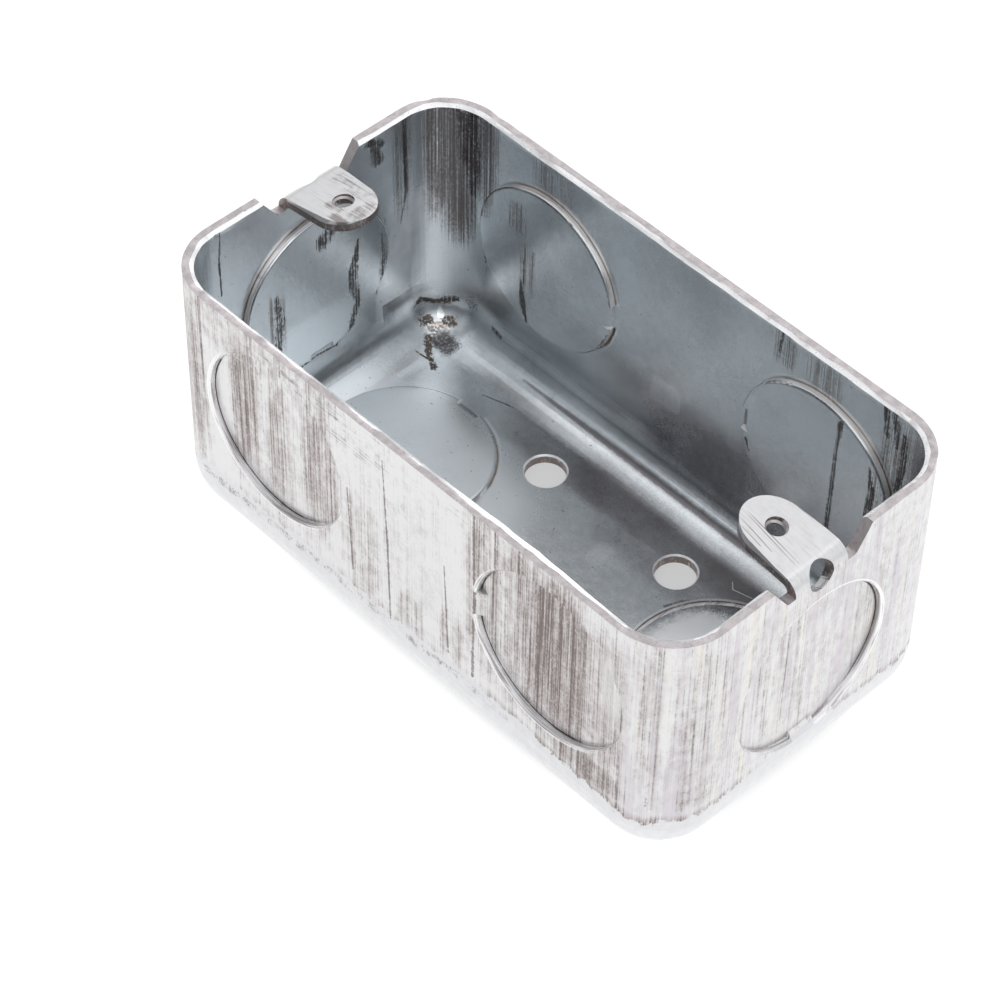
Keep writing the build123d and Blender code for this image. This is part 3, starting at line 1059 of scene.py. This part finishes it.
def rim_planes():
    """Planes across the rim at even steps, each as a point and a normal."""
    planes = []
    for axis, half in ((0, HALF_X), (1, HALF_Y)):
        planes += even_planes(axis, 0.0, RIM_CUT, int((half - CORNER_R) / RIM_CUT))
    return planes


def ear_planes():
    """Planes just below the tops of both ears, each as a point and a normal."""
    planes = []
    for side in (-1, 1):
        normal = Vector((side * math.sin(EAR_TILT), 0.0, math.cos(EAR_TILT)))
        mouth = Vector((side * EAR_HOLE.x, 0.0, EAR_HOLE.z))
        planes.append(((mouth - normal * EAR_ROUND) * MM, normal))
    return planes


def ear_depth(point):
    """How far a point in millimetres stands above the nearer ear's top, and its place along and across it."""
    away = Vector((abs(point.x), point.y, point.z)) - EAR_HOLE
    sine, cosine = math.sin(EAR_TILT), math.cos(EAR_TILT)
    return away.x * sine + away.z * cosine, away.x * cosine - away.z * sine, point.y


def in_ear(point):
    """Whether a point in millimetres belongs to the tongue of an ear."""
    if abs(point.y) > EAR_HALF + EAR_SLACK or point.z < RIM_Z - EAR_DEEP:
        return False
    return abs(point.x) < HALF_X - SHEET - EAR_CLEAR


def cut_part(shell, wanted, planes):
    """Cuts the faces whose middle is wanted along the given planes."""
    bpy.ops.object.mode_set(mode="EDIT")
    bpy.ops.mesh.select_mode(type="FACE")
    bpy.ops.mesh.select_all(action="DESELECT")
    bpy.ops.object.mode_set(mode="OBJECT")
    for polygon in shell.data.polygons:
        polygon.select = wanted(polygon.center / MM)
    bpy.ops.object.mode_set(mode="EDIT")
    bpy.ops.mesh.hide(unselected=True)
    for place, normal in planes:
        bpy.ops.mesh.select_all(action="SELECT")
        bpy.ops.mesh.bisect(plane_co=place, plane_no=normal)
    bpy.ops.mesh.reveal(select=False)
    bpy.ops.mesh.select_all(action="DESELECT")
    bpy.ops.object.mode_set(mode="OBJECT")


def cut_shell(shell):
    """Cuts the shell around its dirty corner, at its rim, below its ears' tops and across its level slug."""
    rim_foot = RIM_Z - RIM_SKIN
    sides = []
    for axis, place in ((2, CORNER_Z), (2, rim_foot), (0, CORNER_X), (1, CORNER_Y)):
        sides += even_planes(axis, place, 0.0, 0)
    cut_part(shell, lambda point: True, sides)
    cut_part(shell, lambda point: point.z > rim_foot and not in_ear(point), rim_planes())
    cut_part(shell, in_ear, ear_planes())
    cut_part(shell, in_level_slug, slug_planes())


def round_ears(shell):
    """Draws in the upper edges of the ears, which the punch has rolled over."""
    for vertex in shell.data.vertices:
        point = vertex.co / MM
        above, along, across = ear_depth(point)
        if abs(above) > CLOSE or not in_ear(point):
            continue
        if along < 0.0 and math.hypot(along, across) > EAR_HALF - EAR_SLACK:
            vertex.co.x += math.copysign(along, point.x) * MM * -EAR_ROUND / EAR_HALF
            vertex.co.y -= across * MM * EAR_ROUND / EAR_HALF
        elif along >= 0.0 and abs(across) > EAR_HALF - EAR_SLACK:
            fade = max(0.0, 1.0 - along / EAR_HALF)
            vertex.co.y -= math.copysign(EAR_ROUND, across) * fade * MM


def roughen_rim(shell, sizes):
    """Moves the rim's edges as the trimming die left them: a lip of uneven width and small nicks."""
    wander = sizes.lip_wander / MM
    bulge = sizes.lip_bulge / MM
    bevel_foot = RIM_Z - BEVEL_DROP
    for vertex in shell.data.vertices:
        point = vertex.co / MM
        if point.z < bevel_foot - CLOSE:
            continue
        gap, way = plan_gap(point)
        inward = Vector((-way.x, -way.y, 0.0))
        broad = field.noise(point * BROAD_WAVES)
        fine = field.noise(point * FINE_WAVES)
        if abs(gap + BEVEL_START) < CLOSE and point.z > RIM_Z - CLOSE:
            point += inward * (LIP_DRAW + wander * (0.9 * broad + 0.8 * fine))
        elif abs(gap + SHEET) < CLOSE and point.z < bevel_foot + CLOSE:
            lean = 0.0
            if way.y < -SQUARE_ON:
                lean = max(0.0, 1.0 - ((point.x - LEAN_X) / LEAN_HALF) ** 2)
            point += inward * (bulge * lean * (0.75 + 0.5 * fine) + 0.35 * wander * (1.0 + broad))
            point.z -= 0.5 * wander * (1.0 + fine)
        elif abs(gap) < CLOSE:
            near = min((Vector(nick) - point.xy).length for nick in NICKS)
            dent = NICK_DEPTH * max(0.0, 1.0 - near / NICK_REACH)
            point += inward * (dent + 0.12 * wander * (1.0 + fine))
            point.z -= dent
        vertex.co = point * MM


# Slug that lies level with the floor: its middle, half the gap around it, how far that gap is filled up, the
# skin below it, the slack in finding it, cuts on each side of the slug's middle, and its bulge's lean
LEVEL_SLUG = Vector((31.1, 3.6))
LEVEL_GAP = 0.41
GAP_FILL = 0.72
GAP_SKIN = 0.6
GAP_SLACK = 0.05
SLUG_CUTS = 7
SLUG_LEAN = 2.2


def skin_depth(point):
    """How deep a point in millimetres lies below the shell's outer face."""
    gap = plan_gap(point)[0]
    side = gap + BOTTOM_R
    below = BOTTOM_R - point.z
    if side > 0.0 and below > 0.0:
        return BOTTOM_R - math.hypot(side, below)
    return min(-gap, point.z)


def in_level_slug(point):
    """Whether a point in millimetres lies on the flat upper face of the level slug."""
    return abs(point.z - SHEET) < CLOSE and (point.xy - LEVEL_SLUG).length < KNOCKOUT_R - LEVEL_GAP


def slug_planes():
    """Planes across the level slug at even steps, each as a point and a normal."""
    step = KNOCKOUT_R / (SLUG_CUTS + 1)
    crossing = zip(*(even_planes(axis, LEVEL_SLUG[axis], step, SLUG_CUTS) for axis in (0, 1)))
    return [plane for pair in crossing for plane in pair]


def shape_level_slug(shell, crown):
    """Bulges the level slug, more on its far side, and smears the gap around it almost shut."""
    reach = KNOCKOUT_R - LEVEL_GAP
    flat_end = HALF_X - BOTTOM_R
    for vertex in shell.data.vertices:
        point = vertex.co / MM
        off = (point.xy - LEVEL_SLUG).length
        if in_level_slug(point):
            lean = max(0.0, 1.0 + SLUG_LEAN * (point.y - LEVEL_SLUG.y) / reach)
            fade = min(1.0, max(0.0, (flat_end - point.x) / BOTTOM_R))
            vertex.co.z += crown * lean * fade * (1.0 - (off / reach) ** 2)
        elif abs(off - KNOCKOUT_R) < LEVEL_GAP + GAP_SLACK and abs(skin_depth(point) - GAP_SKIN) < GAP_SLACK:
            vertex.co -= outward(point) * GAP_FILL * MM


# Which faces count as floor, far wall or left wall: the least share of their direction
WALL_SHARE = 0.7


def inner_slot(point):
    """Which of the zinc materials an inner face takes, from the side of the box it lies on."""
    if point.x < CORNER_X and point.y > CORNER_Y and point.z < CORNER_Z:
        return CORNER
    way = outward(point)
    if way.z < -WALL_SHARE:
        return FLOOR_SIDE
    if way.y > WALL_SHARE:
        return FAR_SIDE
    return LEFT_SIDE if way.x < 0.0 and way.y > -WALL_SHARE else PLAIN_IN


def step_shows(point):
    """Whether the sheared step at a point lies on the side of its slug where it takes the ring's bright
    lines, partly a painted highlight.
    """
    for middle, plane, outer_side, _, _ in SLUGS:
        away = point - Vector(middle)
        flat = Vector([part * flag for part, flag in zip(away, plane)])
        if flat.length < KNOCKOUT_R + 1.0 and (away - flat).length < 2.0 * SHEET:
            return flat.dot(Vector(outer_side)) > 0.0
    return False


# Parts of the end walls, in millimetres: half the ear's strip and its foot, the foot of its bend, and how far
# the notches reach to the side and below the rim
EAR_STRIP_HALF = 5.0
EAR_STRIP_Z = 40.0
BEND_Z = 42.0
NOTCH_HALF = 11.0
NOTCH_DEEP = 4.6

# How far below the rim the white lip, partly a painted highlight, and the cut top reach
LIP_DEEP = 0.6
TOP_DEEP = 0.1


def ear_slot(point, normal):
    """Which of the shell's materials a face of an ear's tongue takes."""
    if normal.z > 0.5:
        return EAR
    if normal.z < -0.5:
        return PLAIN_IN
    above, along, across = ear_depth(point)
    rolled = above > -EAR_ROUND and math.hypot(along, across) > 2.0 * EAR_HOLE_R
    return EAR if rolled else CUT


def shell_slot(polygon):
    """Which of the shell's materials a face takes, from its place and the way it faces."""
    point = polygon.center / MM
    normal = polygon.normal
    facing = normal.dot(outward(point))
    off_ring = abs((point.xy - LEVEL_SLUG).length - KNOCKOUT_R)
    on_strip = abs(point.y) < EAR_STRIP_HALF and point.z > EAR_STRIP_Z
    if in_ear(point):
        return ear_slot(point, normal)
    if on_strip and point.z > BEND_Z:
        return EAR if facing > 0.3 or normal.z > 0.4 else CUT
    # White lip along the inside of the rim, partly a painted highlight
    if point.z > RIM_Z - LIP_DEEP and -SQUARE_ON < facing < -0.2 and normal.z > 0.3:
        return LIP
    if off_ring < LEVEL_GAP - GAP_SLACK and facing < 0.5 and point.z < BOTTOM_R:
        return RING
    if facing > 0.5:
        return RING if 0.6 < facing < 0.8 and step_shows(point) else OUTSIDE
    if facing < -0.5:
        # Painted highlight: the floor holes' upper edges take the white lip
        floor_hole_edge = point.z < SHEET and facing > -SQUARE_ON
        return LIP if floor_hole_edge else inner_slot(point)
    if point.z > RIM_Z - TOP_DEEP:
        return SHEARED
    if on_strip or point.z < SHEET:
        return CUT
    return SHEARED if point.z > RIM_Z - NOTCH_DEEP and abs(point.y) < NOTCH_HALF else RING


def shell_materials(colours):
    """The shell's materials, in the order of its slots."""
    return (
        drawn_outside(colours),
        zinc_inside(colours, "zinc_plain", NO_PAINTED_SHADE, (), (SLUGS[0], SLUGS[1], SLUGS[5])),
        zinc_inside(colours, "zinc_left", END_PAINTED_SHADE, (LEFT_IN, LEFT_CORNER), (SLUGS[4],)),
        zinc_inside(colours, "zinc_far", END_PAINTED_SHADE, (FAR_IN, LEFT_CORNER), (SLUGS[2], SLUGS[3])),
        zinc_inside(colours, "zinc_floor", NO_PAINTED_SHADE, (FLOOR_IN,), (SLUGS[6], SLUGS[7])),
        zinc_inside(colours, "zinc_corner", NO_PAINTED_SHADE, (LEFT_CORNER, FLOOR_IN), (), True),
        sheared_edge(colours),
        lip_burnish_and_highlight(colours),
        brushed_ear(colours),
        sheared_ring(colours),
        cut_edge(colours),
    )


# Merging distance and smoothing angle of the shell and of a thread
SHELL_MERGE = 0.001 * MM
SHELL_SMOOTH = math.radians(34.0)
THREAD_MERGE = 0.0005 * MM
THREAD_SMOOTH = math.radians(35.0)


class WIRINGBOX_OT_shell(bpy.types.Operator):
    """Finish the drawn shell with its rim and its sheet materials"""

    bl_idname = "wiring_box.shell"
    bl_label = "Drawn Shell"

    def execute(self, context):
        sizes = context.scene.wiring_box_sizes
        colours = context.scene.wiring_box_colours
        only(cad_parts["box_body"])
        bpy.ops.object.duplicate()
        shell = context.active_object
        shell.name = "box_shell"
        shell.data.name = "box_shell"
        for key in list(shell.keys()):
            del shell[key]
        bpy.ops.object.mode_set(mode="EDIT")
        bpy.ops.mesh.select_all(action="SELECT")
        bpy.ops.mesh.remove_doubles(threshold=SHELL_MERGE)
        bpy.ops.mesh.customdata_custom_splitnormals_clear()
        bpy.ops.mesh.select_all(action="DESELECT")
        bpy.ops.object.mode_set(mode="OBJECT")
        cut_shell(shell)
        shell.data.materials.clear()
        for material in shell_materials(colours):
            shell.data.materials.append(material)
        for polygon in shell.data.polygons:
            polygon.material_index = shell_slot(polygon)
        roughen_rim(shell, sizes)
        round_ears(shell)
        shape_level_slug(shell, sizes.slug_crown)
        bpy.ops.object.shade_smooth_by_angle(angle=SHELL_SMOOTH)
        weigh = shell.modifiers.new("weighted_normals", "WEIGHTED_NORMAL")
        weigh.keep_sharp = True
        bpy.ops.object.modifier_apply(modifier=weigh.name)
        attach(shell, "root")
        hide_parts("box_body")
        return {"FINISHED"}


# Threads: steps in one turn, how far their root stands in the wall, half their base as a share of the pitch,
# and the part of a turn by which they stop short of the hole's mouths
THREAD_STEPS = 40
THREAD_ROOT = 0.04
THREAD_HALF = 0.36
THREAD_SHORT = 0.75


class WIRINGBOX_OT_threads(bpy.types.Operator):
    """Cut the screw threads that stand in the holes of both ears"""

    bl_idname = "wiring_box.threads"
    bl_label = "Ear Threads"

    def execute(self, context):
        sizes = context.scene.wiring_box_sizes
        colours = context.scene.wiring_box_colours
        pitch = sizes.thread_pitch
        half_base = THREAD_HALF * pitch
        turns = SHEET * MM / pitch - THREAD_SHORT
        root = (EAR_HOLE_R + THREAD_ROOT) * MM
        crest = EAR_HOLE_R * MM - sizes.thread_depth

        # Section of the thread: four points, three of them in the wall
        bpy.ops.object.select_all(action="DESELECT")
        bpy.ops.mesh.primitive_circle_add(
            vertices=4, radius=half_base, fill_type="NOTHING", rotation=(math.pi / 2, 0.0, 0.0)
        )
        thread = context.active_object
        bpy.ops.object.transform_apply(location=True, rotation=True, scale=True)
        for vertex in thread.data.vertices:
            on_wall = abs(vertex.co.z) > half_base / 2 or vertex.co.x > half_base / 2
            vertex.co = (root if on_wall else crest, 0.0, vertex.co.z)

        # Winding, closed at both ends
        winding = thread.modifiers.new("winding", "SCREW")
        winding.axis = "Z"
        winding.angle = turns * 2.0 * math.pi
        winding.screw_offset = turns * pitch
        winding.steps = int(THREAD_STEPS * turns)
        winding.render_steps = winding.steps
        winding.use_merge_vertices = False
        bpy.ops.object.modifier_apply(modifier=winding.name)
        bpy.ops.object.mode_set(mode="EDIT")
        bpy.ops.mesh.select_all(action="SELECT")
        bpy.ops.mesh.remove_doubles(threshold=THREAD_MERGE)
        bpy.ops.mesh.select_all(action="DESELECT")
        bpy.ops.mesh.select_mode(type="EDGE")
        bpy.ops.mesh.select_non_manifold()
        bpy.ops.mesh.fill()
        bpy.ops.mesh.select_all(action="SELECT")
        bpy.ops.mesh.normals_make_consistent(inside=False)
        bpy.ops.mesh.select_all(action="DESELECT")
        bpy.ops.object.mode_set(mode="OBJECT")
        bpy.ops.object.shade_smooth_by_angle(angle=THREAD_SMOOTH)
        thread.data.materials.append(sheared_edge(colours))

        # A copy in the middle of each ear's hole
        depth = (SHEET * MM + turns * pitch) / 2
        for name, turn in (("ear_thread_right", 0.0), ("ear_thread_left", math.pi)):
            only(thread)
            bpy.ops.object.duplicate()
            copy = context.active_object
            copy.name = name
            copy.data.name = name
            copy.matrix_world = (
                Matrix.Rotation(turn, 4, "Z")
                @ Matrix.Translation(EAR_HOLE * MM)
                @ Matrix.Rotation(EAR_TILT, 4, "Y")
                @ Matrix.Translation((0.0, 0.0, -depth))
            )
            bpy.ops.object.transform_apply(location=True, rotation=True, scale=True)
            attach(copy, "root")
        bpy.data.objects.remove(thread)
        return {"FINISHED"}


# Floor: its size in metres, the share of its colour that scatters light, its roughness, how strongly it glows
# in the open and under the box, where the lower glow is a painted shadow, and how far inside the box's
# outline, in millimetres, that painted shadow ends
FLOOR_SIZE = 6.0
FLOOR_SCATTER = 0.24
FLOOR_ROUGH = 0.9
FLOOR_GLOW = (0.98, 0.5)
PAINTED_SHADOW_INSET = 4.0

# Sky of the studio, and the panels in it: direction, the cosines over which each fades in, and its colour
SKY = (0.76, 0.77, 0.78)
SKY_PANELS = (
    ((-0.45, -0.78, 0.43), (0.84, 0.95), (0.07, 0.07, 0.08)),
    ((0.72, -0.1, 0.69), (0.6, 0.95), (1.42, 1.45, 1.48)),
    ((-0.48, 0.47, 0.74), (0.85, 0.97), (0.9, 0.91, 0.92)),
    ((-0.48, -0.24, 0.845), (0.987, 0.996), (1.6, 1.6, 1.63)),
    ((-0.48, 0.77, 0.42), (0.93, 0.985), (2.4, 2.42, 2.45)),
    ((0.05, 0.47, 0.88), (0.955, 0.985), (1.6, 1.6, 1.64)),
)

# Window light: its place and size in metres, and its power in watts
WINDOW_PLACE = Vector((-0.54, -0.58, 0.9))
WINDOW_SIZE = 0.2
WINDOW_POWER = 0.12

# Camera: sensor and lens in millimetres, its near clip in metres, its turn, lift and roll, and the point it
# faces and its distance from there in millimetres
SENSOR = 36.0
LENS = 126.5
CLIP_START = 0.01
CAMERA_TURN = math.radians(45.554)
CAMERA_LIFT = math.radians(47.933)
CAMERA_ROLL = math.radians(1.072)
CAMERA_TARGET = Vector((14.529, -23.332, 45.6))
CAMERA_DISTANCE = 453.34


def pale_floor(colours):
    """Wide floor that glows evenly, with its glow lowered under the box as a painted shadow."""
    bpy.ops.object.select_all(action="DESELECT")
    bpy.ops.mesh.primitive_plane_add(size=FLOOR_SIZE, location=(0.0, 0.0, 0.0))
    floor = bpy.context.active_object
    floor.name = "pale_floor"
    material, tree, shader, point = new_material("pale_floor", 0.0)
    shader.inputs["Base Color"].default_value = (*tinted(colours.floor, FLOOR_SCATTER), 1.0)
    shader.inputs["Roughness"].default_value = FLOOR_ROUGH
    shader.inputs["Emission Color"].default_value = (*colours.floor, 1.0)
    # Painted shadow: the floor glows less under the box
    shade = ((0.0, 0.0, 0.0), (HALF_X - PAINTED_SHADOW_INSET, HALF_Y - PAINTED_SHADOW_INSET, PAINTED_SHADOW_INSET), 1.0)
    glow = ramp(tree, spots_mask(tree, point, [shade]), 0.0, 0.3, *FLOOR_GLOW)
    tree.links.new(glow, shader.inputs["Emission Strength"])
    material.cycles.emission_sampling = "NONE"
    floor.data.materials.append(material)


def studio_sky(scene):
    """Even sky with the studio's bright and dark panels."""
    world = bpy.data.worlds.new("studio")
    world.use_nodes = True
    tree = world.node_tree
    way = put(tree, "ShaderNodeTexCoord").outputs["Generated"]
    sky = SKY
    for side, span, colour in SKY_PANELS:
        facing = vector_of(tree, "DOT_PRODUCT", way, side, "Value")
        sky = mixed(tree, ramp(tree, facing, *span), sky, colour)
    tree.links.new(sky, tree.nodes["Background"].inputs["Color"])
    world.cycles.sampling_method = "NONE"
    scene.world = world


def window_light(scene):
    """Square area light in front of the box, aimed at its middle."""
    light = bpy.data.lights.new("front_window", "AREA")
    light.shape = "SQUARE"
    light.size = WINDOW_SIZE
    light.energy = WINDOW_POWER
    lamp = bpy.data.objects.new("front_window", light)
    scene.collection.objects.link(lamp)
    lamp.location = WINDOW_PLACE
    lamp.rotation_euler = (-WINDOW_PLACE).to_track_quat("-Z", "Y").to_euler()


def photo_camera(scene):
    """Camera above the near right corner, slightly rolled."""
    camera = bpy.data.objects.new("photo_camera", bpy.data.cameras.new("photo_camera"))
    scene.collection.objects.link(camera)
    camera.data.sensor_width = SENSOR
    camera.data.lens = LENS
    camera.data.clip_start = CLIP_START
    level = Vector((math.cos(CAMERA_TURN), math.sin(CAMERA_TURN), 0.0))
    outwards = Vector((math.sin(CAMERA_TURN), -math.cos(CAMERA_TURN), 0.0))
    back = outwards * math.cos(CAMERA_LIFT) + Vector((0.0, 0.0, math.sin(CAMERA_LIFT)))
    upright = back.cross(level)
    right = math.cos(CAMERA_ROLL) * level + math.sin(CAMERA_ROLL) * upright
    up = math.cos(CAMERA_ROLL) * upright - math.sin(CAMERA_ROLL) * level
    turned = Matrix((right, up, back)).transposed().to_4x4()
    camera.matrix_world = Matrix.Translation((CAMERA_TARGET + back * CAMERA_DISTANCE) * MM) @ turned
    scene.camera = camera


class WIRINGBOX_OT_stage(bpy.types.Operator):
    """Set the pale floor, the soft light and the camera"""

    bl_idname = "wiring_box.stage"
    bl_label = "Stage"

    def execute(self, context):
        scene = context.scene
        scene.view_settings.view_transform = "Standard"
        pale_floor(scene.wiring_box_colours)
        studio_sky(scene)
        window_light(scene)
        photo_camera(scene)
        return {"FINISHED"}


class WIRINGBOX_PT_panel(bpy.types.Panel):
    """Sidebar panel that lists the box's sizes, colours and pieces"""

    bl_label = "Wiring Box"
    bl_idname = "WIRINGBOX_PT_panel"
    bl_space_type = "VIEW_3D"
    bl_region_type = "UI"
    bl_category = "Wiring Box"

    def draw(self, context):
        for group in (context.scene.wiring_box_sizes, context.scene.wiring_box_colours):
            for name in group.__annotations__:
                self.layout.prop(group, name)
        for operator in (WIRINGBOX_OT_shell, WIRINGBOX_OT_threads, WIRINGBOX_OT_stage):
            self.layout.operator(operator.bl_idname)


CLASSES = (
    WiringBoxSizes,
    WiringBoxColours,
    WIRINGBOX_OT_shell,
    WIRINGBOX_OT_threads,
    WIRINGBOX_OT_stage,
    WIRINGBOX_PT_panel,
)


def register():
    for cls in CLASSES:
        bpy.utils.register_class(cls)
    bpy.types.Scene.wiring_box_sizes = bpy.props.PointerProperty(type=WiringBoxSizes)
    bpy.types.Scene.wiring_box_colours = bpy.props.PointerProperty(type=WiringBoxColours)


def unregister():
    del bpy.types.Scene.wiring_box_colours
    del bpy.types.Scene.wiring_box_sizes
    for cls in reversed(CLASSES):
        bpy.utils.unregister_class(cls)


def main():
    register()
    bpy.ops.wiring_box.shell()
    bpy.ops.wiring_box.threads()
    bpy.ops.wiring_box.stage()


if __name__ == "__main__":
    main()
